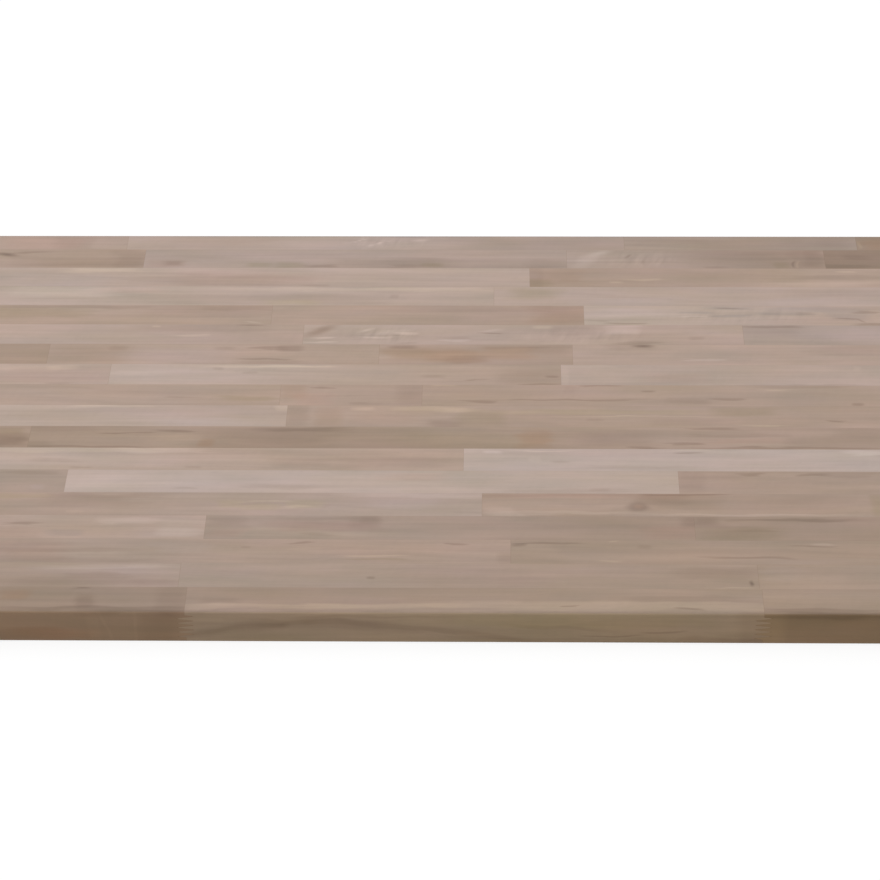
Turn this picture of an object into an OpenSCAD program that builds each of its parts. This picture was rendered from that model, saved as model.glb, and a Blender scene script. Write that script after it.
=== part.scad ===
/* [Panel] */
// Length of the panel, along the grain
panel_length = 1219; // [900:1:2440]
// Depth of the panel, from its front edge to its back edge
panel_depth = 635; // [560:1:660]
// Finished thickness of the panel
panel_thickness = 38.1; // [28:0.1:45]

/* [Staves] */
// Width of one planed stave
stave_width = 35.7; // [34:0.1:60]
// What the last cut takes off the front row
front_trim = 1; // [0:0.5:20]
// Narrowest back row that is worth gluing on as a row of its own
narrowest_row = 12; // [5:1:25]

/* [Finger joints] */
// Length of the fingers, along the grain
finger_length = 14; // [8:0.5:20]
// Distance from one finger to the next, through the thickness
finger_pitch = 5.6; // [4:0.1:8]
// Height of a finger's blunt tip
finger_tip = 0.8; // [0.4:0.1:1.2]
// Least height of the square shoulder above and below the fingers
least_shoulder = 4; // [2:0.5:8]

/* [Edges] */
// Radius of the eased edges round the top face
top_ease = 3; // [1:0.5:8]
// Radius of the eased edges round the underside
bottom_ease = 1.5; // [0.5:0.5:8]

/* [Hidden] */
$fn = 48;

// What planing and trimming take off the glued panel, on every side of it
planing_allowance = 2;

// Length of each stave of a row, left to right, front row first. The 0 in each row is the stave
// that takes what the others leave of the panel's length.
row_staves = [
    [372.5, 0, 301.5],
    [363.5, 0, 303.5],
    [140, 540, 0],
    [382, 0, 360],
    [0, 567],
    [237, 0, 372],
    [0, 586],
    [191, 0, 134],
    [451, 0, 120],
    [442, 147, 0],
    [261, 472, 0],
    [192, 350, 204, 0],
    [80, 380, 0, 291],
    [424, 335.5, 0],
    [0, 466, 90],
    [105, 0, 517],
    [276, 0, 284, 192],
    [254, 0, 257.5, 154],
];

// Tone of each stave, left to right: p pale, l light, m middling, b brown, d dark
row_tones = [
    "dmb", "dml", "bmm", "lmd", "mm", "dpb", "lp", "bdm", "pbm",
    "mbm", "mll", "dmbm", "lbll", "bbl", "llm", "mld", "bmmd", "bmmd",
];
tone_letters = "plmbd";
tone_colours = [
    [0.76, 0.70, 0.66],
    [0.72, 0.65, 0.60],
    [0.66, 0.59, 0.53],
    [0.60, 0.52, 0.45],
    [0.53, 0.45, 0.38],
];

row_count = ceil((panel_depth + front_trim - narrowest_row) / stave_width);
finger_count = floor((panel_thickness - 2 * least_shoulder) / finger_pitch);
shoulder = (panel_thickness - finger_count * finger_pitch) / 2;

function sum(numbers, from = 0) = from < len(numbers) ? numbers[from] + sum(numbers, from + 1) : 0;

// The lengths of a row's staves, with the 0 filled in
function stave_lengths(row) =
    let (listed = row_staves[row % len(row_staves)])
    [for (length = listed) length == 0 ? panel_length - sum(listed) : length];

// Where stave n of a row starts, which is also where the stave before it ends
function stave_start(row, n) =
    -panel_length / 2 + (n == 0 ? 0 : sum([for (i = [0:n - 1]) stave_lengths(row)[i]]));

function front_of_row(row) = -panel_depth / 2 - front_trim + row * stave_width;

// The back row is glued up wide enough to be trimmed to the panel's depth
function blank_width(row) = stave_width + (row == row_count - 1 ? narrowest_row : 0);

function stave_name(row, n) = str("row_", row < 9 ? "0" : "", row + 1, "_stave_", n + 1);

function tone(row, n) =
    let (letters = row_tones[row % len(row_tones)])
    tone_colours[search(letters[n % len(letters)], tone_letters)[0]];

function reversed(points) = [for (i = [len(points) - 1:-1:0]) points[i]];

// A finger that points right and the one below it that points left
function finger_pair(x, top) =
    let (
        left = x - finger_length / 2,
        right = x + finger_length / 2,
        upper = top - finger_pitch / 4,
        lower = top - 3 * finger_pitch / 4
    )
    [
        [right, upper + finger_tip / 2],
        [right, upper - finger_tip / 2],
        [left, lower + finger_tip / 2],
        [left, lower - finger_tip / 2],
    ];

// The cut between two staves, from the top of the blank down, seen from the front
function finger_joint(x) = concat(
    [[x, panel_thickness + planing_allowance], [x, panel_thickness - shoulder]],
    [for (i = [0:finger_count - 1]) each finger_pair(x, panel_thickness - shoulder - i * finger_pitch)],
    [[x, shoulder], [x, -planing_allowance]]
);

// The square cut at an end of the panel, which is trimmed away
function sawn_end(x) = [[x, panel_thickness + planing_allowance], [x, -planing_allowance]];

function left_cut(row, n) =
    n == 0 ? sawn_end(-panel_length / 2 - planing_allowance) : finger_joint(stave_start(row, n));

function right_cut(row, n) =
    n == len(stave_lengths(row)) - 1
        ? sawn_end(panel_length / 2 + planing_allowance)
        : finger_joint(stave_start(row, n + 1));

// A stave as it is glued in, before the panel is planed and trimmed
module stave_blank(row, n) {
    translate([0, front_of_row(row) + blank_width(row), 0])
        rotate([90, 0, 0])
            linear_extrude(blank_width(row))
                polygon(concat(left_cut(row, n), reversed(right_cut(row, n))));
}

// Outline of the finished panel seen end on or from the front, with its four edges eased
module eased_outline(width) {
    half = width / 2;
    top = panel_thickness;
    translate([-half, bottom_ease]) square([width, top - top_ease - bottom_ease]);
    translate([-half + top_ease, bottom_ease]) square([width - 2 * top_ease, top - bottom_ease]);
    translate([-half + bottom_ease, 0]) square([width - 2 * bottom_ease, top - top_ease]);
    for (side = [-1, 1]) {
        translate([side * (half - top_ease), top - top_ease]) circle(top_ease);
        translate([side * (half - bottom_ease), bottom_ease]) circle(bottom_ease);
    }
}

// The whole panel's finished shape, which every stave is cut to
module finished_panel() {
    intersection() {
        rotate([90, 0, 90])
            linear_extrude(panel_length + 2 * planing_allowance, center = true)
                eased_outline(panel_depth);
        rotate([90, 0, 0])
            linear_extrude(panel_depth + 2 * planing_allowance, center = true)
                eased_outline(panel_length);
    }
}

module stave(row, n) {
    color(tone(row, n))
        intersection() {
            stave_blank(row, n);
            finished_panel();
        }
}

for (row = [0:row_count - 1])
    for (n = [0:len(stave_lengths(row)) - 1])
        stave(row, n);
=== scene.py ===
import math
import random

import bpy
from mathutils import Matrix, Vector


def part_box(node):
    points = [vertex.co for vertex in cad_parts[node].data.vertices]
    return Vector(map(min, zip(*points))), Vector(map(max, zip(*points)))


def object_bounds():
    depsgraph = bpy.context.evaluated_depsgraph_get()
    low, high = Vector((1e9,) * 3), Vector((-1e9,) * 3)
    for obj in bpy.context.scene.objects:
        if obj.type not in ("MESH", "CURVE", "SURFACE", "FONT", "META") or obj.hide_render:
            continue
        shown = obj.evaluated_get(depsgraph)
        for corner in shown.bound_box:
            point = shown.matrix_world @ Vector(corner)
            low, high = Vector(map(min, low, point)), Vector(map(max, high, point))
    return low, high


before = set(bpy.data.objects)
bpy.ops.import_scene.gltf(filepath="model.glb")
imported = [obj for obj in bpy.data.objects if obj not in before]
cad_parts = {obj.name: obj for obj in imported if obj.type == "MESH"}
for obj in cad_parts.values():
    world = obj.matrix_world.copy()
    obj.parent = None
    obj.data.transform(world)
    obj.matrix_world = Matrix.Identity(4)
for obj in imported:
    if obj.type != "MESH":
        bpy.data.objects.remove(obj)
CAD_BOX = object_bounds()

# The frame is in metres. Sizes and places on the panel are in millimetres here, and turns in degrees.
MM = 0.001
PANEL_TOP = CAD_BOX[1][2] / MM

# A place beyond the panel, for the seams and joints that a stave doesn't have
OFF_PANEL = 900.0

# The finger joints, with the sizes that the part's source gives them
FINGER_LENGTH = 14.0
FINGER_PITCH = 5.6
FINGER_TIP = 0.8
FINGER_COUNT = 5
SHOULDER = (PANEL_TOP - FINGER_COUNT * FINGER_PITCH) / 2

# Half widths of the glue lines. The last two are a joint's, measured along the panel, where its cut
# is square and where it slants.
SEAM_GLUE = 0.11
SQUARE_GLUE = 0.3
SLANTING_GLUE = 1.5

# Share of a glue line's half width that is glue all through
SOLID_GLUE = 0.2

# Sizes of the noises that make up the figure: along the grain, across it and through the thickness
NOISE_SIZES = {
    "drift": (45, 12, 30),
    "fray": (26, 1.8, 1.8),
    "sway": (260, 55, 55),
    "wobble": (70, 18, 18),
    "fibres": (42, 1.1, 1.1),
    "strands": (170, 5, 5),
    "clouds": (110, 26, 26),
    "pores": (8, 0.6, 0.6),
    "ripple": (6, 24, 24),
}
FINE_RING = 2.8
BROAD_RING = 12.0
RIPPLE_TURN = 22

# Values of the pores' noise at which a pore starts and at which it is at its deepest
PORE_RANGE = (0.62, 0.74)

# What pores add to the wood's shade and relief, and what glue adds to the relief
PORE_SHADE = -0.05
PORE_RELIEF = -0.6
GLUE_RELIEF = -0.5

# Each stave takes its figure from its own place in noise that is this wide each way
NOISE_SPAN = 5000

# Where the pith may lie, seen from the stave's middle: least and most distance to one side, then
# least and most depth below
PITHS = [(5, 25, 60, 140), (70, 130, 20, 60), (90, 160, 60, 110)]

# How far the pith shifts for each millimetre along the stave, at most: to a side, and up or down
MOST_LEAN = (0.03, 0.05)

# Cross-grain curl of plain wood
PLAIN_CURL = 0.04

# A patch of swerve or curl fades out this far down, which is below the panel
PATCH_DEPTH = 60

# A mark fades out at this many times its stated size
SOFT = 1.35

# A mark that is at least this many times as long as wide frays with the fibres
STREAK = 5

# A mark with a half length under this drifts little
SHORT = 16

# Half length of a mark that runs past both ends of the panel
WHOLE_ROW = 4000

# How far down a mark on the top reaches, at least, and how far in one on the front face does
MARK_DEPTH = 12
FACE_MARK_DEPTH = 3

# How far a face turns from the top, as its normal's share along x or y, before it starts to look
# like an end or a side, and before it fully does. The side's span also sets where the painted shade
# of the long sides comes in across the eased edges.
END_TURN = (0.25, 0.95)
SIDE_SHADE_TURN = (0.62, 0.99)

# What glue and end grain do to the wood's colour, and the painted shade that makes the long sides
# darker and browner than the top, as factors
GLUE_LOOK = (0.84, 0.80, 0.76)
END_LOOK = (0.78, 0.70, 0.62)
SIDE_PAINTED_SHADE = (0.97, 0.92, 0.82)

# Tones of unfinished hardwood, as sRGB out of 255
TONES = {
    "chalk": (186, 168, 159),
    "pale": (184, 165, 153),
    "light": (180, 160, 148),
    "rosy": (178, 156, 143),
    "ashen": (173, 154, 143),
    "fawn": (175, 153, 138),
    "tan": (170, 148, 133),
    "stone": (167, 148, 135),
    "olive": (164, 143, 126),
    "brown": (160, 139, 124),
    "dusk": (154, 134, 118),
    "dark": (146, 125, 109),
}

# Tone at the left and at the right end of each stave, front row first
STAVE_TONES = [
    ["dusk dusk", "brown olive", "olive brown"],
    ["olive stone", "stone olive", "olive stone"],
    ["brown brown", "stone tan", "olive olive"],
    ["fawn rosy", "stone brown", "brown brown"],
    ["tan ashen", "tan tan"],
    ["stone stone", "chalk pale", "tan tan"],
    ["pale fawn", "chalk chalk"],
    ["brown olive", "olive tan", "brown brown"],
    ["pale light", "fawn tan", "stone stone"],
    ["rosy fawn", "fawn tan", "tan fawn"],
    ["rosy light", "pale fawn", "light light"],
    ["olive olive", "rosy fawn", "fawn tan", "rosy rosy"],
    ["rosy rosy", "light rosy", "light rosy", "ashen ashen"],
    ["fawn fawn", "fawn tan", "pale rosy"],
    ["pale light", "light light", "light light"],
    ["tan tan", "light light", "tan fawn"],
    ["fawn tan", "ashen ashen", "ashen brown", "dark dark"],
    ["rosy rosy", "light ashen", "stone stone", "dusk dusk"],
]

# What a mark does to the wood's colour, as factors on linear red, green and blue
LOOKS = {
    "cream": (1.14, 1.15, 1.12),
    "pale": (1.13, 1.15, 1.18),
    "lift": (1.06, 1.06, 1.06),
    "lilac": (1.03, 1.04, 1.08),
    "pink": (1.03, 0.98, 0.98),
    "fleck": (1.22, 1.23, 1.25),
    "cool": (0.98, 1.02, 1.02),
    "moss": (1.00, 1.02, 0.94),
    "olive": (0.90, 0.91, 0.84),
    "rust": (0.99, 0.92, 0.86),
    "slate": (0.88, 0.91, 0.94),
    "dim": (0.96, 0.95, 0.95),
    "brown": (0.95, 0.92, 0.88),
    "shade": (0.91, 0.90, 0.89),
    "dark": (0.80, 0.78, 0.76),
    "deep": (0.58, 0.55, 0.53),
    "heart": (1.45, 1.42, 1.40),
}

# Marks on the staves' top, by row and stave. Each is a soft-edged patch, given as its look, its
# middle along the panel and back from the row's front seam, half its length, half its width, and
# its turn.
MARKS = {
    # In the back row, the slate bands that run the whole row at 31 back are painted shade on its eased
    # back edge
    "18.1": [
        ("slate", 0, 31, WHOLE_ROW, 6, 0), ("slate", 0, 31, WHOLE_ROW, 4, 0),
        ("pink", -450, 12, 40, 12, 0), ("shade", -415, 12, 22, 12, 0), ("dim", -400, 26, 110, 8, 0),
    ],
    "18.2": [
        ("slate", 0, 31, WHOLE_ROW, 6, 0), ("slate", 0, 31, WHOLE_ROW, 4, 0),
        ("lilac", -80, 14, 120, 14, 0), ("fleck", -30, 19, 12, 3, 8), ("fleck", -75, 12, 16, 2, 30),
        ("fleck", -100, 18, 12, 2, 30), ("shade", 100, 12, 110, 16, 0), ("dim", -260, 14, 70, 12, 0),
    ],
    "18.3": [
        ("slate", 0, 31, WHOLE_ROW, 6, 0), ("shade", 330, 12, 60, 12, 0), ("dim", 250, 18, 40, 8, 0),
        ("dim", 440, 14, 30, 12, 0), ("shade", 410, 14, 34, 12, 0),
    ],
    "18.4": [
        ("slate", 0, 31, WHOLE_ROW, 6, 0), ("rust", 482, 12, 20, 12, 0), ("cream", 459, 10, 2, 7, 0),
    ],
    "17.1": [
        ("deep", -487, 25, 15, 4, -10), ("dark", -462, 30, 30, 3, 6), ("shade", -350, 16, 18, 20, 0),
        ("shade", -400, 10, 70, 9, 0),
    ],
    "17.2": [
        ("shade", -302, 9, 12, 6, 0), ("shade", -302, 9, 8, 4, 0), ("olive", -205, 6, 14, 4, 0),
        ("olive", -172, 6, 15, 6, 0), ("dark", -140, 3, 16, 3, 0), ("shade", -60, 8, 62, 10, 0),
        ("shade", 25, 8, 90, 10, 0), ("shade", -42, 4, 14, 2.5, 0), ("olive", -15, 6, 12, 4, 0),
        ("shade", 114, 8, 26, 12, 0), ("brown", -310, 8, 20, 7, 0),
    ],
    "17.3": [
        ("pale", 158, 18, 30, 10, 50), ("pale", 172, 30, 14, 5, 20), ("dark", 201, 24, 7, 2, 40),
        ("shade", 219, 12, 14, 3, 80), ("shade", 330, 22, 60, 14, 0), ("olive", 370, 6, 9, 6, 0),
        ("dark", 383, 8, 1.6, 6, 0), ("cream", 388, 8, 1.6, 6, 0), ("shade", 400, 20, 18, 18, 0),
        ("shade", 406, 20, 10, 16, 0), ("shade", 297, 1, 12, 3, 0), ("dim", 330, 30, 90, 5, 0),
    ],
    "17.4": [
        ("shade", 452, 22, 14, 4, 0), ("shade", 440, 4, 24, 4, 0),
    ],
    "16.2": [
        ("cream", -375, 31, 42, 5, 0), ("lift", -330, 31, 70, 4, 0), ("lift", -40, 31, 130, 5, 0),
        ("lilac", -430, 12, 60, 14, 0), ("shade", -240, 12, 90, 10, 0), ("shade", -140, 2, 14, 2.4, 0),
        ("pink", -225, 14, 80, 14, 0),
    ],
    "16.3": [
        ("shade", 98, 14, 9, 24, 0), ("olive", 104, 6, 16, 8, 0), ("brown", 125, 20, 26, 12, 0),
        ("cream", 187, 9, 7, 2, 0), ("cream", 222, 14, 18, 2.2, 0), ("pale", 405, 5, 100, 7, 3),
        ("shade", 435, 19, 50, 4, 0), ("cream", 440, 30, 12, 2, 0), ("dim", 310, 24, 60, 9, 0),
    ],
    "15.1": [
        ("pale", -420, 26, 56, 10, 0), ("cream", -90, 30.5, 130, 3.6, 0), ("lift", 40, 27, 76, 7, 0),
        ("shade", -200, 12, 130, 9, 0), ("moss", -165, 5, 30, 5, 0), ("shade", -55, 17, 5, 4, 0),
        ("pink", -350, 28, 40, 6, 0), ("lift", -350, 28, 40, 6, 0),
    ],
    "15.2": [
        ("olive", 100, 22, 28, 10, 0), ("lilac", 200, 6, 60, 8, 0), ("lilac", 420, 6, 90, 8, 0),
        ("dim", 430, 24, 60, 8, 0),
    ],
    "14.1": [
        ("shade", -430, 33, 60, 2.6, 0), ("shade", -350, 32, 30, 3.5, 0), ("olive", -440, 22, 50, 9, 0),
        ("shade", -250, 26, 70, 11, 0), ("shade", -215, 31, 44, 5, 0), ("pale", -208, 4, 11, 1.2, 0),
    ],
    "14.2": [
        ("shade", 124, 32.5, 36, 3, 0), ("brown", 128, 18, 34, 15, 0), ("dim", 30, 30, 90, 6, 0),
        ("dim", 128, 18, 30, 14, 0),
    ],
    "14.3": [
        ("slate", 303, 31, 22, 3.5, 0), ("dark", 303, 31, 14, 1.6, 0), ("slate", 270, 22, 18, 2, 0),
        ("slate", 306, 18, 18, 2.2, 0), ("slate", 365, 22, 28, 3, 0), ("shade", 386, 22, 9, 2.5, 0),
        ("slate", 395, 29, 52, 4, 0), ("dark", 453, 25, 14, 2, 0), ("dark", 428, 13, 14, 1.3, 0),
        ("dark", 446, 9, 7, 1.5, -35), ("dark", 460, 2, 16, 2.5, 0), ("dark", 196, 3, 20, 1.6, 0),
        ("shade", 168, 8, 14, 2.5, -15), ("pale", 270, 16, 16, 1.3, 0), ("lilac", 215, 24, 50, 8, 0),
        ("slate", 432, 18, 24, 8, 0), ("dim", 400, 9, 44, 6, 0),
    ],
    "13.2": [
        ("shade", -260, 29, 60, 8, 0), ("cream", -268, 16, 20, 2, 0), ("dark", -208, 35, 12, 1.5, 0),
        ("cream", -307, 32, 4, 1.5, 0),
    ],
    "13.3": [
        ("dark", -131, 25, 22, 6, 32), ("brown", -131, 25, 24, 8, 32), ("pale", -60, 21, 30, 5, 14),
        ("fleck", -82, 25, 10, 2.5, 25), ("fleck", -70, 12.5, 14, 1.4, 0),
        ("fleck", -40, 20, 12, 2.5, 0), ("fleck", -130, 11, 12, 1.3, 0), ("fleck", -128, 4, 12, 1.4, 0),
        ("shade", -40, 3, 12, 2, 0), ("shade", 13, 12, 14, 2, 0), ("pale", 10, 8, 14, 2, 0),
        ("pale", 50, 25, 18, 3.5, 6), ("dark", 52, 20, 14, 1.5, 0), ("cream", 105, 32, 11, 3, 0),
        ("dim", 135, 26, 22, 9, 0), ("pale", 192, 25, 20, 7, 0), ("pale", 198, 33.5, 18, 1.5, 0),
        ("dark", 208, 3, 26, 5, 10), ("shade", 268, 12, 8, 3, 0), ("lilac", 225, 27, 70, 9, 0),
        ("dim", 230, 10, 70, 7, 0),
    ],
    "13.4": [
        ("dark", 350, 33, 34, 2.5, 0), ("dim", 350, 27, 38, 7, 0), ("lilac", 430, 20, 50, 16, 0),
    ],
    "12.2": [
        ("brown", -382, 18, 48, 20, 0), ("shade", -345, 28, 9, 4, 0), ("lilac", -290, 14, 60, 14, 0),
        ("shade", -232, 28, 10, 3, 0), ("dark", -188, 29, 20, 2.5, 0), ("dark", -162, 28, 13, 5, 0),
        ("dark", -185, 9, 24, 1.8, 0), ("shade", -180, 3, 34, 3, 0),
    ],
    "12.3": [
        ("dark", -42, 31, 14, 3, 0), ("brown", -34, 20, 22, 9, 0), ("rust", 15, 14, 34, 10, 0),
        ("brown", -10, 16, 50, 14, 0), ("rust", 70, 20, 24, 12, 0), ("shade", 75, 31, 30, 2.5, 0),
        ("shade", 25, 10, 22, 6, 0), ("shade", 110, 26, 24, 8, 0),
    ],
    "12.4": [
        ("deep", 212, 33.5, 12, 3.5, 0), ("shade", 198, 33, 28, 6, 0), ("pale", 273, 9, 18, 2, 0),
        ("shade", 430, 26, 40, 8, 0),
    ],
    "11.1": [
        ("cream", -445, 30, 34, 5, 0), ("cream", -400, 30, 18, 4, 0), ("shade", -398, 1.5, 16, 1.5, 0),
        ("pink", -400, 16, 60, 14, 0),
    ],
    "11.2": [
        ("lift", -315, 20, 34, 4, 0), ("cream", -180, 32.5, 62, 2, 0), ("cream", -160, 31, 36, 2.5, 0),
        ("lilac", -270, 18, 80, 16, 0), ("shade", -235, 28, 6, 2.5, 0), ("shade", -202, 20.5, 8, 2, 0),
        ("shade", 95, 16, 34, 14, 0), ("dark", 114, 14, 7, 2, 0), ("dark", 32, 9.5, 22, 1, 7),
        ("dark", 102, 0.5, 22, 1.2, 0), ("shade", -10, 15, 12, 2.5, 0),
    ],
    "11.3": [
        ("lift", 150, 32, 26, 2.6, 0), ("lift", 128, 16, 4, 18, 0), ("shade", 370, 0.5, 90, 1.4, 0),
        ("lift", 433, 30, 4, 4, 0), ("pink", 245, 12, 30, 9, 0),
    ],
    "10.1": [
        ("shade", -270, 13, 22, 1.3, 0), ("olive", -205, 11, 28, 4, 0),
    ],
    "10.2": [
        ("brown", -154, 25, 14, 12, 0), ("pink", -132, 10, 20, 10, 0), ("dark", -122, 31, 10, 1.8, 0),
        ("shade", -80, 3, 11, 2, 0), ("shade", -32, 20, 15, 18, 0),
    ],
    "10.3": [
        ("cream", 3, 35, 13, 2, 0), ("dark", 38, 8.5, 14, 2, 0), ("dark", 130, 10.5, 72, 1.2, 0),
        ("shade", 252, 10, 20, 4.5, 0), ("dark", 295, 11.5, 16, 1.8, 0), ("dim", 132, 28, 6, 8, 0),
        ("dark", 214, 25.5, 7, 1.6, 0), ("cream", 345, 27.5, 11, 1.6, 0),
        ("shade", 370, 33, 50, 2.5, 0), ("dark", 165, 34.3, 22, 1.2, 0), ("dim", 385, 22, 18, 3, 0),
        ("dark", 427, 4, 6, 2.5, 0),
    ],
    "9.1": [
        ("cream", -345, 33.5, 38, 2, 0), ("cream", -164, 31, 8, 4, 0), ("lilac", -240, 8, 60, 6, 0),
    ],
    "9.2": [
        ("shade", -148, 20, 12, 18, 0), ("brown", -115, 16, 14, 16, 0), ("cream", -80, 30, 12, 3, 0),
        ("cream", -5, 30, 42, 4, 0), ("lift", 12, 29, 16, 4, 0), ("shade", 5, 4, 22, 9, 0),
        ("shade", 5, 3, 16, 6, 0), ("olive", 42, 15, 24, 14, 0), ("moss", 165, 25, 110, 4, 0),
        ("cream", 205, 18, 82, 0.9, 0), ("dim", 260, 9, 44, 6, 0), ("shade", 157, 12, 9, 2.2, 0),
        ("olive", 310, 27, 32, 8, 0), ("cream", 330, 4.5, 22, 1.6, 0), ("lift", 420, 5, 30, 5, 0),
        ("dark", 405, 11.5, 11, 1.6, 0), ("dim", -60, 12, 30, 10, 0), ("dim", 90, 12, 60, 12, 0),
    ],
    "8.1": [
        ("dark", -438, 12, 24, 11, 0), ("olive", -440, 27, 14, 5, 0), ("shade", -438, 12, 18, 8, 0),
    ],
    "8.2": [
        ("shade", -388, 31, 36, 4, 0), ("dark", -320, 24, 27, 1.3, 0), ("dark", -271, 27, 15, 2, 0),
        ("lift", -272, 12, 24, 13, 0), ("dark", -360, 1.5, 62, 1.8, 0), ("shade", -180, 13, 68, 18, 0),
        ("shade", -110, 14, 90, 20, 0), ("dark", -140, 31, 42, 4, 0), ("rust", -238, 8, 8, 6, 0),
        ("rust", 95, 16, 16, 15, 0), ("olive", 40, 12, 80, 14, 0), ("shade", 180, 15, 38, 14, 0),
        ("shade", 300, 22.5, 50, 2.4, 0), ("dark", 250, 8, 13, 2.2, 0), ("pink", 310, 13, 44, 5, 0),
        ("shade", 375, 12, 26, 8, 0), ("shade", 425, 18, 28, 16, 0), ("dark", 360, 1.5, 90, 1.8, 0),
        ("dark", 205, 2, 14, 2, 0), ("dark", 278, 33.5, 24, 2, 0), ("shade", -408, 6, 14, 5, 0),
        ("dim", 130, 14, 40, 14, 0),
    ],
    "7.1": [
        ("cream", -370, 32, 80, 4, 0), ("lilac", -330, 18, 70, 12, 0), ("shade", -390, 16, 26, 4, 0),
        ("shade", -360, 4.5, 11, 1.6, 0), ("shade", -247, 4.5, 8, 1.8, 0),
        ("shade", -142, 12, 24, 7, 0), ("shade", -60, 12, 60, 8, 0), ("pale", -280, 31, 40, 4.5, 0),
    ],
    "7.2": [
        ("pale", 52, 30, 9, 2.5, 0), ("cream", 104, 32.7, 28, 0.9, 0), ("lift", 95, 18, 7, 5, 0),
        ("dark", 252, 29, 13, 1.2, 0), ("cream", 252, 33.5, 18, 0.8, 0), ("shade", 200, 7, 54, 2.2, 0),
        ("pale", 428, 30, 20, 4, 0), ("shade", 122, 14, 9, 2, 0), ("dim", 150, 30, 90, 6, 0),
        ("lift", 350, 30, 80, 5, 0),
    ],
    "6.1": [
        ("shade", -412, 31, 32, 3, 0), ("lilac", -400, 8, 6, 4, 0),
    ],
    "6.2": [
        ("lift", -300, 17, 80, 10, 0), ("shade", -150, 9.5, 42, 3, 0), ("shade", -253, 6, 9, 1.6, 0),
        ("pink", -25, 25, 30, 6, 0), ("shade", 158, 6, 9, 2.4, 0), ("shade", 130, 4, 60, 3, 0),
    ],
    "6.3": [
        ("shade", 250, 20, 14, 17, 0), ("dim", 282, 27, 22, 7, 0), ("dark", 310, 30.5, 11, 2, 0),
        ("dark", 376, 31, 16, 2.2, 0), ("shade", 412, 30, 22, 3, 0),
    ],
    "5.1": [
        ("moss", -415, 30, 28, 4, 0), ("shade", -345, 22, 46, 9, 0), ("shade", -330, 30, 60, 3, 0),
        ("lift", -358, 5.5, 9, 2, 0), ("moss", -205, 18, 12, 6, 0), ("moss", -175, 13, 18, 5, 0),
        ("moss", -130, 18, 18, 6, 0), ("dim", -110, 15, 6, 3, 40), ("pale", -22, 32.5, 66, 4.5, 0),
        ("lilac", -35, 18, 30, 9, 0), ("cream", -170, 22, 22, 1.6, 0), ("cream", -140, 14, 18, 1.4, 4),
    ],
    "5.2": [
        ("dim", 120, 33, 84, 2.2, 0), ("pale", 130, 6, 66, 2.2, 0), ("pale", 80, 2, 40, 1.6, 0),
        ("pale", 300, 3, 110, 1.6, 0), ("brown", 235, 24, 38, 13, 0), ("shade", 222, 27, 24, 8, 0),
        ("dark", 240, 34, 36, 1.8, 0), ("dim", 340, 18, 70, 14, 0), ("olive", 433, 18, 8, 18, 0),
        ("deep", 195, 15.5, 12, 8, 0), ("heart", 195, 15.5, 6, 4.5, 0), ("pale", 62, 8, 18, 6, 0),
        ("pink", 130, 31, 100, 4, 0),
    ],
    "4.1": [
        ("pale", -307, 27, 26, 5, 0), ("dark", -412, 22.5, 16, 2.4, 0), ("slate", -365, 9, 18, 5, 0),
        ("cool", -252, 22, 24, 10, 0), ("shade", -420, 8, 30, 8, 0), ("pale", -252, 9, 22, 6, 0),
        ("lilac", -262, 10, 34, 8, 0),
    ],
    "4.2": [
        ("shade", -210, 22, 20, 16, 0), ("shade", -105, 31, 50, 2.6, 0), ("shade", -72, 26, 15, 10, 0),
        ("shade", -66, 30, 10, 6, 0), ("shade", -115, 7.5, 16, 2.4, 0), ("pink", 225, 12, 26, 9, 0),
        ("shade", 248, 27, 14, 9, 0), ("shade", 250, 28, 12, 7, 0), ("lift", -130, 7, 60, 5, 0),
        ("pink", -110, 20, 50, 8, 0), ("lift", -205, 8, 18, 7, 0), ("pink", -205, 8, 18, 7, 0),
        ("dim", -110, 20, 50, 8, 0),
    ],
    "4.3": [
        ("olive", 290, 10, 44, 10, 0), ("shade", 308, 14, 24, 1.8, 0), ("dark", 350, 31.5, 60, 2, 0),
        ("shade", 262, 27, 16, 9, 0), ("shade", 260, 28, 12, 7, 0),
    ],
    "3.2": [
        ("shade", -370, 18, 72, 3.2, 0), ("lift", -350, 11.5, 58, 2.6, 0),
        ("shade", -340, 3.5, 80, 3.2, 0), ("lilac", -248, 24, 26, 9, 0), ("dark", -131, 30, 14, 1.4, 0),
        ("shade", -185, 24, 5, 1.6, 0), ("cream", -62, 11, 34, 1.2, 0), ("lift", -130, 21, 16, 3, 0),
        ("olive", -65, 6, 30, 1.4, 0), ("dark", 16, 29.5, 11, 1.8, 0), ("shade", 68, 8, 10, 8, 0),
        ("dim", -400, 18, 40, 16, 0), ("pink", -400, 18, 40, 16, 0),
    ],
    "3.3": [
        ("dark", 79, 28.5, 7, 2.4, 0), ("dark", 106, 31, 26, 1.4, 0), ("cream", 171, 33, 8, 1.4, 0),
        ("cream", 165, 5.5, 11, 1.4, 0), ("pale", 370, 30, 12, 2.2, 0), ("dark", 366, 28, 17, 1.2, 0),
        ("shade", 200, 26, 6, 3, 0), ("dark", 297, 9.5, 36, 1.7, 0), ("lilac", 360, 4.5, 62, 5, 0),
        ("lift", 92, 24, 22, 6, 0),
    ],
    "2.1": [
        ("pale", -315, 29.5, 66, 3.6, 0), ("lift", -283, 29, 20, 2.4, 0), ("lilac", -330, 24, 60, 5, 0),
        ("shade", -325, 17, 30, 4, 0), ("shade", -268, 5, 24, 7, 0), ("shade", -350, 6, 70, 8, 0),
        ("dim", -340, 20, 80, 14, 0),
    ],
    "2.2": [
        ("dark", -65, 14.5, 4, 2, 0), ("shade", 265, 22, 34, 9, 0), ("cream", 283, 0.8, 18, 0.9, 0),
        ("deep", 299.5, 8, 2.5, 5, 0), ("dim", 20, 18, 60, 16, 0), ("dim", 85, 8, 28, 7, 0),
    ],
    "2.3": [
        ("lift", 345, 10, 40, 10, 0), ("lilac", 330, 22, 20, 10, 0),
    ],
    "1.1": [
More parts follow.
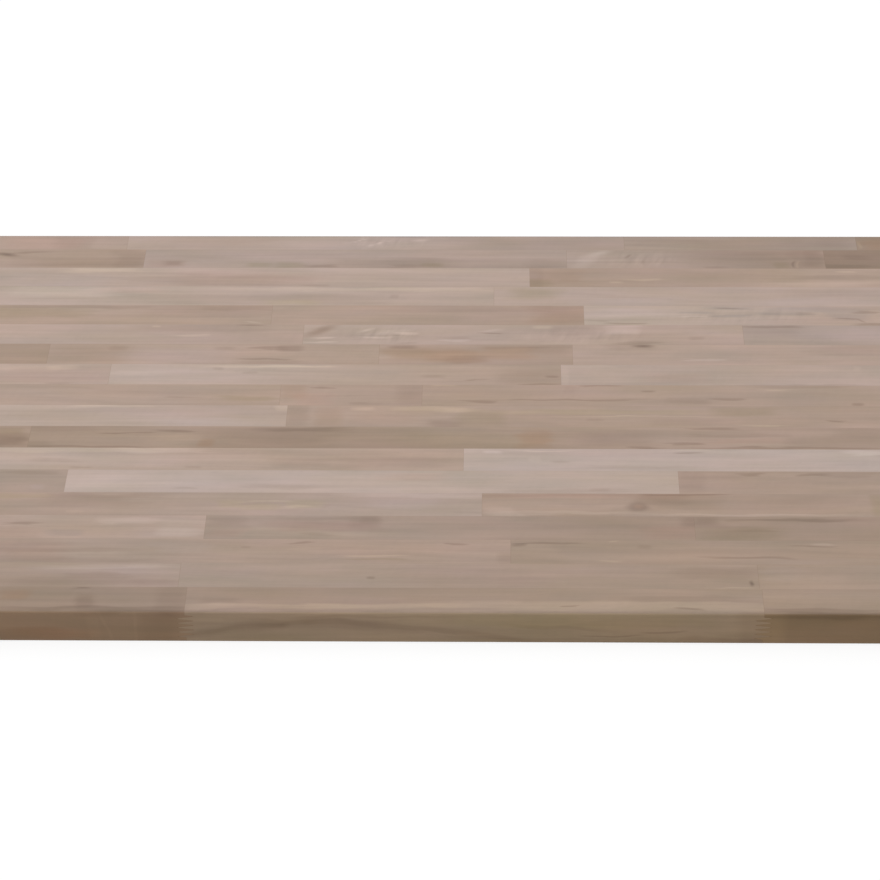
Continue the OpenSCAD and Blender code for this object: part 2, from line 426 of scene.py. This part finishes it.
        ("rust", -400, 24, 14, 7, 0), ("shade", -332, 15, 10, 11, 0), ("shade", -332, 15, 7, 8, 0),
        ("shade", -252, 18, 14, 17, 0), ("dark", -330, 4.5, 90, 3.4, 0), ("dark", -332, 35, 9, 1.5, 0),
    ],
    "1.2": [
        ("shade", -208, 16, 22, 4.5, 0), ("lift", -218, 9, 22, 4.5, 0),
        ("cream", -160, 8.5, 90, 3.5, 0), ("cream", -40, 10, 70, 3.5, 0), ("cream", 160, 11, 170, 6, 0),
        ("dark", 120, 11, 6, 0.9, 0), ("dark", 240, 5.5, 10, 1.5, 0), ("shade", 235, 21, 66, 3.5, 0),
        # The lift at 0.5 back runs along the front arris: painted light that moves where the arris turns
        # to the darker front face
        ("cream", 285, 35, 20, 1, 0), ("lift", 30, 0.5, 290, 2.5, 0),
    ],
    "1.3": [
        # The two shades at 1 back lie on the front arris: painted shade that darkens the turn from top
        # to front face
        ("dark", 355, 5.5, 60, 3, 0), ("shade", 400, 1, 110, 2.5, 0), ("lift", 365, 31, 60, 5, 0),
        ("shade", 400, 1, 110, 3, 0),
    ],
}

# How the front face's colour differs from the top's for each stave of the front row, as factors
FACE_TONES = {
    "1.1": (1.12, 1.06, 1.00),
    "1.2": (1.17, 1.21, 1.17),
    "1.3": (0.84, 0.80, 0.68),
}

# Marks on the front face: the same as on the top, but with heights instead of distances back and
# half heights instead of half widths
FACE_MARKS = {
    "1.1": [
        ("lift", -311, 16, 1.6, 22, 15), ("lift", -283, 15, 1.6, 20, 2), ("lift", -324, 18, 6, 20, 0),
        ("rust", -365, 10, 40, 7, 0), ("shade", -262, 16, 17, 30, 0), ("shade", -420, 8, 60, 8, 0),
    ],
    "1.2": [
        ("shade", -190, 15, 80, 6, 10), ("shade", -112, 24, 62, 6, 0), ("dim", 0, 13, 110, 6, -7),
        ("shade", -180, 17, 70, 3, 10), ("shade", -105, 25, 56, 3, 0), ("shade", 5, 14, 95, 3, -7),
        ("shade", 150, 1, 190, 6, 0), ("moss", 120, 28, 130, 8, 0), ("dark", 170, 10, 26, 1.2, 0),
        ("dark", 215, 14, 18, 1.2, 0), ("shade", 120, 20, 50, 2, -3), ("lift", -215, 27, 18, 2, 0),
        ("shade", 301, 19, 16, 40, 0), ("shade", -60, 32, 90, 1.5, 0), ("dim", 240, 14, 80, 30, 0),
        ("shade", 275, 3, 45, 4, 0), ("lift", -90, 31, 130, 7, 0), ("shade", 290, 5, 22, 7, 0),
        ("lift", -10, 5, 70, 5, 0),
    ],
    "1.3": [
        # The shade at height 37 lies on the front arris: painted shade there
        ("cream", 312, 19, 15, 40, 0), ("shade", 350, 33, 60, 2.5, 0), ("shade", 400, 37, 110, 2.2, 0),
    ],
}

# Where the rings swerve round a knot or make a long flame: middle along the panel and back from the
# row's front seam, half length, half width, and how far they swerve
SWERVES = {
    "17.1": [(-487, 25, 50, 12, 9)],
    "17.2": [(-302, 9, 45, 14, 9)],
    "13.3": [(-131, 25, 50, 16, 9)],
    "12.4": [(212, 34, 45, 14, 9)],
    "9.2": [(90, 6, 120, 16, 8)],
    "8.2": [(-150, 8, 110, 20, 10), (180, 10, 60, 18, 8)],
    "5.1": [(-150, 12, 90, 14, 12)],
    "5.2": [(195, 15.5, 45, 14, 10)],
    "3.2": [(-60, 12, 90, 14, 8)],
    "1.2": [(60, 6, 180, 14, 8)],
}

# Patches of cross-grain curl, placed and sized in the same way, with how strong it is instead
CURLS = {
    "18.2": [(-65, 15, 60, 16, 0.35)],
    "17.3": [(215, 18, 60, 24, 0.4)],
    "13.3": [(-65, 18, 60, 20, 0.4), (150, 16, 100, 20, 0.25)],
    "14.3": [(320, 18, 120, 22, 0.2)],
}

# Where each row's front seam lies. The front row was as wide as the others before it was trimmed.
ROW_FRONTS = [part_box(f"row_{row:02d}_stave_1")[0].y / MM for row in range(1, len(STAVE_TONES) + 1)]
ROW_WIDTH = ROW_FRONTS[2] - ROW_FRONTS[1]
SEAMS = [ROW_FRONTS[1] - ROW_WIDTH] + ROW_FRONTS[1:]


def to_linear(channel):
    c = channel / 255
    return c / 12.92 if c <= 0.04045 else ((c + 0.055) / 1.055) ** 2.4


def colour(rgb):
    return [to_linear(c) for c in rgb] + [1.0]


def put(tree, value, socket):
    """Give a socket its value, by a link where that is another socket."""
    if isinstance(value, bpy.types.NodeSocket):
        tree.links.new(value, socket)
    else:
        socket.default_value = value


def add_node(tree, kind, inputs=None, **settings):
    made = tree.nodes.new("ShaderNode" + kind)
    for name, value in settings.items():
        setattr(made, name, value)
    for name, value in (inputs or {}).items():
        put(tree, value, made.inputs[name])
    return made


def calc(tree, operation, a, b=0.0, c=0.0):
    return add_node(tree, "Math", {0: a, 1: b, 2: c}, operation=operation).outputs[0]


def vector(tree, operation, a, b=(0, 0, 0)):
    made = add_node(tree, "VectorMath", {0: a, 1: b}, operation=operation)
    return made.outputs["Value" if operation == "LENGTH" else "Vector"]


def split(tree, value):
    """The X, Y and Z of a vector."""
    return add_node(tree, "SeparateXYZ", {0: value}).outputs


def distance(tree, a, b):
    """How far apart two numbers are."""
    return calc(tree, "ABSOLUTE", calc(tree, "SUBTRACT", a, b))


def limited(tree, value, low, high):
    return calc(tree, "MAXIMUM", calc(tree, "MINIMUM", value, high), low)


def from_middle(tree, value):
    """How far a noise's value is from the middle of its range."""
    return calc(tree, "SUBTRACT", value, 0.5)


def shifted(tree, place, shift, reach):
    """A place moved by a shift, which is first multiplied by its reach along each axis."""
    return vector(tree, "ADD", place, vector(tree, "MULTIPLY", shift, reach))


def ramp(tree, value, start, end):
    """0 up to the start and 1 from the end on, with a smooth step between them."""
    inputs = {"Value": value, "From Min": start, "From Max": end}
    return add_node(tree, "MapRange", inputs, interpolation_type="SMOOTHSTEP").outputs[0]


def noise(tree, place, kind, detail=1.0):
    inputs = {"Vector": place, "Scale": [1 / size for size in NOISE_SIZES[kind]]}
    stretched = add_node(tree, "Mapping", inputs).outputs[0]
    return add_node(tree, "TexNoise", {"Vector": stretched, "Scale": 1.0, "Detail": detail}).outputs


def noise_shift(tree, place, kind, detail=1.0):
    """A shift that varies from place to place, by up to half a unit each way."""
    return vector(tree, "SUBTRACT", noise(tree, place, kind, detail)["Color"], (0.5, 0.5, 0.5))


def rings(tree, radius, width, detail):
    """Bands of about one width that follow each other out from the pith."""
    along = calc(tree, "DIVIDE", radius, width)
    inputs = {"W": along, "Scale": 1.0, "Detail": detail, "Roughness": 0.6}
    return add_node(tree, "TexNoise", inputs, noise_dimensions="1D").outputs["Fac"]


def blend(tree, kind, amount, a, b):
    made = add_node(tree, "Mix", data_type="RGBA", blend_type=kind, clamp_result=False)
    wanted = {"Factor_Float": amount, "A_Color": a, "B_Color": b}
    for socket in made.inputs:
        if socket.identifier in wanted:
            put(tree, wanted[socket.identifier], socket)
    return next(socket for socket in made.outputs if socket.identifier == "Result_Color")


def with_look(tree, tone, amount, factors):
    """The tone with a look laid over it, by some amount."""
    return blend(tree, "MULTIPLY", amount, tone, (*factors, 1))


def new_group(name, inputs, outputs):
    """A node group, with the sockets that its nodes read from and those that they end in."""
    tree = bpy.data.node_groups.new(name, "ShaderNodeTree")
    for label, kind in inputs:
        tree.interface.new_socket(label, in_out="INPUT", socket_type="NodeSocket" + kind)
    for label, kind in outputs:
        tree.interface.new_socket(label, in_out="OUTPUT", socket_type="NodeSocket" + kind)
    entry = tree.nodes.new("NodeGroupInput")
    leave = tree.nodes.new("NodeGroupOutput")
    return tree, {s.name: s for s in entry.outputs}, {s.name: s for s in leave.inputs}


def use_group(tree, group, inputs):
    return add_node(tree, "Group", inputs, node_tree=group).outputs


def new_material(name):
    """A material with no nodes yet, and its node tree."""
    material = bpy.data.materials.new(name)
    material.use_nodes = True
    material.node_tree.nodes.clear()
    return material, material.node_tree


def place_group():
    """Where a point is in the panel, in millimetres: as it is, and drifting as the grain does."""
    labels = ["Place", "Steady", "Wavering", "Frayed"]
    tree, _, out = new_group("panel_place", [], [(label, "Vector") for label in labels])
    metres = add_node(tree, "TexCoord").outputs["Object"]
    place = vector(tree, "MULTIPLY", metres, (1 / MM, 1 / MM, 1 / MM))
    drift = noise_shift(tree, place, "drift")
    fray = noise_shift(tree, place, "fray")
    steady = shifted(tree, place, drift, (8, 3, 3))
    wavering = shifted(tree, place, drift, (30, 8, 10))
    frayed = shifted(tree, wavering, fray, (30, 1.3, 1.3))
    for label, value in zip(labels, (place, steady, wavering, frayed)):
        put(tree, value, out[label])
    return tree


def grain_group():
    """Growth rings round a pith, fibres, pores and cross-grain ripple, as a shade round 1."""
    tree, given, out = new_group(
        "hardwood_grain",
        [("Place", "Vector"), ("Centre", "Vector"), ("Seed", "Vector"), ("Pith", "Vector"),
         ("Lean", "Vector"), ("Bend", "Float"), ("Curl", "Float")],
        [("Shade", "Float"), ("Tint", "Vector"), ("Relief", "Float")],
    )
    local = vector(tree, "SUBTRACT", given["Place"], given["Centre"])
    seeded = vector(tree, "ADD", local, given["Seed"])

    lean = vector(tree, "MULTIPLY", given["Lean"], split(tree, local)["X"])
    pith = vector(tree, "ADD", given["Pith"], lean)
    from_pith = vector(tree, "SUBTRACT", local, pith)
    from_pith = shifted(tree, from_pith, noise_shift(tree, seeded, "sway", 1.5), (0, 30, 30))
    from_pith = shifted(tree, from_pith, noise_shift(tree, seeded, "wobble"), (0, 5, 5))
    across = vector(tree, "MULTIPLY", from_pith, (0, 1, 1))
    radius = calc(tree, "ADD", vector(tree, "LENGTH", across), given["Bend"])

    fibres = noise(tree, seeded, "fibres", 2.0)["Fac"]
    strands = noise(tree, seeded, "strands", 2.0)["Fac"]
    clouds = noise(tree, seeded, "clouds", 2.0)
    pores = ramp(tree, noise(tree, seeded, "pores", 0.0)["Fac"], *PORE_RANGE)
    turn = (0, 0, math.radians(RIPPLE_TURN))
    turned = add_node(tree, "Mapping", {"Vector": seeded, "Rotation": turn}).outputs[0]
    ripple = from_middle(tree, noise(tree, turned, "ripple")["Fac"])

    # Each share is the step from that part's darkest wood to its lightest
    shade = calc(tree, "MULTIPLY_ADD", ripple, given["Curl"], 1.0)
    shares = [
        (rings(tree, radius, FINE_RING, 2.0), 0.05),
        (rings(tree, radius, BROAD_RING, 1.0), 0.15),
        (fibres, 0.06),
        (strands, 0.18),
        (clouds["Fac"], 0.28),
    ]
    for value, share in shares:
        shade = calc(tree, "MULTIPLY_ADD", from_middle(tree, value), share, shade)
    put(tree, calc(tree, "MULTIPLY_ADD", pores, PORE_SHADE, shade), out["Shade"])

    hues = add_node(tree, "SeparateColor", {0: clouds["Color"]}).outputs
    rosy = vector(tree, "MULTIPLY", from_middle(tree, hues["Red"]), (0.05, -0.06, 0.05))
    warm = vector(tree, "MULTIPLY", from_middle(tree, hues["Green"]), (0.06, 0.01, -0.11))
    plain = (1.0, 0.99, 0.98)
    put(tree, vector(tree, "ADD", vector(tree, "ADD", rosy, warm), plain), out["Tint"])
    put(tree, calc(tree, "MULTIPLY_ADD", pores, PORE_RELIEF, fibres), out["Relief"])
    return tree


def glue_group():
    """How much of a point is glue line: straight between rows, zigzag at the finger joints."""
    labels = ["Left joint", "Right joint", "Front seam", "Back seam"]
    tree, given, out = new_group(
        "glue_line", [("Place", "Vector")] + [(label, "Float") for label in labels], [("Glue", "Float")])
    place = split(tree, given["Place"])

    # The height is counted down in fingers, from 0 at the upper shoulder to all of them at the lower
    below = calc(tree, "SUBTRACT", PANEL_TOP - SHOULDER, place["Z"])
    height = limited(tree, calc(tree, "DIVIDE", below, FINGER_PITCH), 0.0, float(FINGER_COUNT))
    zigzag = calc(tree, "PINGPONG", calc(tree, "ADD", height, 0.25), 0.5)
    slope = FINGER_LENGTH / (0.5 - FINGER_TIP / FINGER_PITCH)
    swing = calc(tree, "MULTIPLY", calc(tree, "SUBTRACT", zigzag, 0.25), slope)
    swing = limited(tree, swing, -FINGER_LENGTH / 2, FINGER_LENGTH / 2)

    # The shoulders lie at the two ends of that count, so the fingers stop just short of both
    middle, just_short = FINGER_COUNT / 2, 0.001
    in_fingers = calc(tree, "COMPARE", height, middle, middle - just_short)
    joint_glue = calc(tree, "MULTIPLY_ADD", in_fingers, SLANTING_GLUE - SQUARE_GLUE, SQUARE_GLUE)
    x = calc(tree, "SUBTRACT", place["X"], swing)
    to_joint = calc(
        tree, "MINIMUM", distance(tree, x, given["Left joint"]), distance(tree, x, given["Right joint"]))
    y = place["Y"]
    to_seam = calc(
        tree, "MINIMUM", distance(tree, y, given["Front seam"]), distance(tree, y, given["Back seam"]))
    joint = calc(tree, "DIVIDE", to_joint, joint_glue)
    seam = calc(tree, "DIVIDE", to_seam, SEAM_GLUE)
    put(tree, ramp(tree, calc(tree, "MINIMUM", joint, seam), 1.0, SOLID_GLUE), out["Glue"])
    return tree


def surface_and_shade_group():
    """Colour, roughness and relief of a stave, with its end grain and painted shade on its long sides.
    """
    tree, given, out = new_group(
        "stave_surface_and_shade",
        [("Tone", "Color"), ("Shade", "Float"), ("Tint", "Vector"), ("Relief", "Float"),
         ("Glue", "Float"), ("Face tone", "Color")],
        [("Color", "Color"), ("Roughness", "Float"), ("Height", "Float")],
    )
    facing = split(tree, vector(tree, "ABSOLUTE", add_node(tree, "NewGeometry").outputs["Normal"]))
    end = ramp(tree, facing["X"], *END_TURN)
    side = ramp(tree, facing["Y"], *SIDE_SHADE_TURN)

    # End grain shows the figure twice as strongly
    contrast = calc(tree, "ADD", end, 1.0)
    shade = calc(tree, "MULTIPLY_ADD", calc(tree, "SUBTRACT", given["Shade"], 1.0), contrast, 1.0)
    tone = blend(tree, "MULTIPLY", 1.0, given["Tone"], shade)
    tone = blend(tree, "MULTIPLY", 1.0, tone, given["Tint"])
    tone = with_look(tree, tone, given["Glue"], GLUE_LOOK)
    tone = with_look(tree, tone, end, END_LOOK)
    # Painted shade: faces turned to the front or back, and the eased edges towards them, get darker and
    # browner
    tone = with_look(tree, tone, side, SIDE_PAINTED_SHADE)
    tone = blend(tree, "MULTIPLY", side, tone, given["Face tone"])
    put(tree, tone, out["Color"])

    plain_roughness, from_relief, from_end = 0.50, 0.25, 0.20
    rough = calc(tree, "MULTIPLY_ADD", given["Relief"], from_relief, plain_roughness)
    put(tree, calc(tree, "MULTIPLY_ADD", end, from_end, rough), out["Roughness"])
    put(tree, calc(tree, "MULTIPLY_ADD", given["Glue"], GLUE_RELIEF, given["Relief"]), out["Height"])
    return tree


PLACE = place_group()
GRAIN = grain_group()
GLUE = glue_group()
SURFACE_AND_SHADE = surface_and_shade_group()


def patch(tree, place, middle, size, turn=(0, 0, 0), square=False):
    """1 in the middle of a soft-edged oval, or of a patch with rounded corners, and 0 outside it."""
    inputs = {"Vector": place, "Location": middle, "Rotation": turn, "Scale": size}
    within = add_node(tree, "Mapping", inputs, vector_type="TEXTURE").outputs[0]
    if square:
        within = vector(tree, "MULTIPLY", within, within)
    return ramp(tree, vector(tree, "LENGTH", within), 1.0, 0.0)


def marked_top(tree, tone, places, front, marks):
    """The tone with the marks of the stave's top."""
    for look, x, back, half_length, half_width, turn in marks:
        knot = look in ("deep", "heart") or turn != 0
        if half_length >= STREAK * half_width:
            place = places["Frayed"]
        elif knot or half_length < SHORT:
            place = places["Steady"]
        else:
            place = places["Wavering"]
        middle = (x, front + back, PANEL_TOP)
        size = (half_length * SOFT, half_width * SOFT, max(MARK_DEPTH, half_width * 2))
        amount = patch(tree, place, middle, size, (0, 0, math.radians(turn)), square=not knot)
        tone = with_look(tree, tone, amount, LOOKS[look])
    return tone


def marked_face(tree, tone, places, marks):
    """The tone with the marks of the panel's front face."""
    for look, x, up, half_length, half_height, turn in marks:
        place = places["Wavering" if half_length > half_height else "Steady"]
        middle = (x, ROW_FRONTS[0], up)
        size = (half_length * SOFT, FACE_MARK_DEPTH, half_height * SOFT)
        amount = patch(tree, place, middle, size, (0, -math.radians(turn), 0), square=True)
        tone = with_look(tree, tone, amount, LOOKS[look])
    return tone


def strength_at(tree, place, front, spots, base):
    """The base strength and what some patches add to it."""
    total = base
    for x, back, half_length, half_width, strength in spots:
        size = (half_length, half_width, PATCH_DEPTH)
        amount = patch(tree, place, (x, front + back, PANEL_TOP), size)
        total = calc(tree, "MULTIPLY_ADD", amount, float(strength), total)
    return total


def stave_grain(tree, places, front, key, centre, dice):
    """The figure of one stave, cut from its own place in its own tree."""
    side = dice.choice([-1, 1])
    pith = dice.choice([
        (0, side * dice.uniform(near, far), -dice.uniform(shallow, deep))
        for near, far, shallow, deep in PITHS
    ])
    return use_group(tree, GRAIN, {
        "Place": places["Place"],
        "Centre": centre,
        "Seed": [dice.uniform(0, NOISE_SPAN) for _ in range(3)],
        "Pith": pith,
        "Lean": (0, *(dice.uniform(-most, most) for most in MOST_LEAN)),
        "Bend": strength_at(tree, places["Wavering"], front, SWERVES.get(key, []), 0.0),
        "Curl": strength_at(tree, places["Wavering"], front, CURLS.get(key, []), PLAIN_CURL),
    })


def stave_material(name, row, number):
    """The wood of one stave, with its tones, its figure, its marks and the glue round it."""
    key = f"{row}.{number}"
    low, high = (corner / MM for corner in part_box(name))
    front = SEAMS[row - 1]
    staves = STAVE_TONES[row - 1]
    material, tree = new_material("wood_" + name)
    places = use_group(tree, PLACE, {})
    dice = random.Random(100 * row + number)
    grain = stave_grain(tree, places, front, key, (low + high) / 2, dice)

    left_tone, right_tone = (colour(TONES[tone]) for tone in staves[number - 1].split())
    from_left = ramp(tree, split(tree, places["Wavering"])["X"], low.x, high.x)
    tone = blend(tree, "MIX", from_left, left_tone, right_tone)
    tone = marked_top(tree, tone, places, front, MARKS.get(key, []))
    tone = marked_face(tree, tone, places, FACE_MARKS.get(key, []))

    glue = use_group(tree, GLUE, {
        "Place": places["Place"],
        "Left joint": low.x + FINGER_LENGTH / 2 if number > 1 else -OFF_PANEL,
        "Right joint": high.x - FINGER_LENGTH / 2 if number < len(staves) else OFF_PANEL,
        "Front seam": front if row > 1 else -OFF_PANEL,
        "Back seam": high.y if row < len(STAVE_TONES) else OFF_PANEL,
    })
    surface_and_shade = use_group(tree, SURFACE_AND_SHADE, {
        "Tone": tone,
        "Shade": grain["Shade"],
        "Tint": grain["Tint"],
        "Relief": grain["Relief"],
        "Glue": glue["Glue"],
        "Face tone": (*FACE_TONES.get(key, (1, 1, 1)), 1),
    })
    bump = add_node(tree, "Bump", {"Height": surface_and_shade["Height"], "Strength": 0.25, "Distance": 0.2 * MM})
    shader = add_node(tree, "BsdfPrincipled", {
        "Base Color": surface_and_shade["Color"],
        "Roughness": surface_and_shade["Roughness"],
        "Normal": bump.outputs[0],
        "Specular IOR Level": 0.3,
    })
    add_node(tree, "OutputMaterial", {"Surface": shader.outputs[0]})
    return material


def dress_staves():
    """Give every stave a material of its own."""
    for row, staves in enumerate(STAVE_TONES, start=1):
        for number in range(1, len(staves) + 1):
            name = f"row_{row:02d}_stave_{number}"
            material = stave_material(name, row, number)
            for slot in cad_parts[name].material_slots:
                slot.material = material


def seen_directly(tree):
    """1 where a camera, gloss or glass ray arrives, else 0."""
    path = add_node(tree, "LightPath").outputs
    seen = calc(tree, "MAXIMUM", path["Is Camera Ray"], path["Is Glossy Ray"])
    return calc(tree, "MAXIMUM", seen, path["Is Transmission Ray"])


def make_floor():
    """A floor that looks white, but throws little light back onto the panel's sides."""
    half, below_panel = 6.0, 0.5 * MM
    grey, glow = 0.2, 0.84
    corners = [(-half, -half, 0), (half, -half, 0), (half, half, 0), (-half, half, 0)]
    mesh = bpy.data.meshes.new("floor")
    mesh.from_pydata(corners, [], [(0, 1, 2, 3)])
    floor = bpy.data.objects.new("floor", mesh)
    floor.location.z = -below_panel
    bpy.context.scene.collection.objects.link(floor)

    material, tree = new_material("floor_white")
    matt = add_node(tree, "BsdfDiffuse", {"Color": (grey, grey, grey, 1)})
    strength = calc(tree, "MULTIPLY", seen_directly(tree), glow)
    light = add_node(tree, "Emission", {"Strength": strength})
    both = add_node(tree, "AddShader", {0: matt.outputs[0], 1: light.outputs[0]})
    add_node(tree, "OutputMaterial", {"Surface": both.outputs[0]})
    mesh.materials.append(material)


def light_scene():
    """A white sky, a little dimmer as a light than it looks, and one large lamp at the back left."""
    light, look = 0.85, 1.0
    world = bpy.data.worlds.new("studio")
    bpy.context.scene.world = world
    world.use_nodes = True
    tree = world.node_tree
    tree.nodes.clear()
    strength = calc(tree, "MULTIPLY_ADD", seen_directly(tree), look - light, light)
    sky = add_node(tree, "Background", {"Color": (1, 1, 1, 1), "Strength": strength})
    add_node(tree, "OutputWorld", {"Surface": sky.outputs[0]})

    lamp = bpy.data.lights.new("soft_box", "AREA")
    lamp.shape = "SQUARE"
    lamp.size = 2.2
    lamp.energy = 11.0
    soft_box = bpy.data.objects.new("soft_box", lamp)
    soft_box.location = (-0.7, 0.6, 2.6)
    soft_box.rotation_euler = (-soft_box.location).to_track_quat("-Z", "Y").to_euler()
    bpy.context.scene.collection.objects.link(soft_box)


def make_camera():
    """The photo's camera, fitted to the seams, joints and edges that show in it."""
    focal_length, sensor = 113.935, 36.0
    pitch, azimuth, roll = (math.radians(angle) for angle in (37.962, -1.448, -0.747))
    distance_to_aim = 2.8216
    aim = Vector((-0.0007, -0.0546, PANEL_TOP * MM))
    level = Vector((math.sin(azimuth), math.cos(azimuth), 0))
    forward = level * math.cos(pitch) - Vector((0, 0, math.sin(pitch)))
    right = Vector((math.cos(azimuth), -math.sin(azimuth), 0))
    up = right.cross(forward)
    rolled_right = right * math.cos(roll) + up * math.sin(roll)
    rolled_up = up * math.cos(roll) - right * math.sin(roll)

    data = bpy.data.cameras.new("camera")
    data.lens = focal_length
    data.sensor_width = sensor
    data.sensor_fit = "HORIZONTAL"
    camera = bpy.data.objects.new("camera", data)
    turn = Matrix((rolled_right, rolled_up, -forward)).transposed().to_4x4()
    camera.matrix_world = Matrix.Translation(aim - forward * distance_to_aim) @ turn
    bpy.context.scene.collection.objects.link(camera)
    bpy.context.scene.camera = camera


dress_staves()
make_floor()
light_scene()
make_camera()
bpy.context.scene.view_settings.view_transform = "Standard"
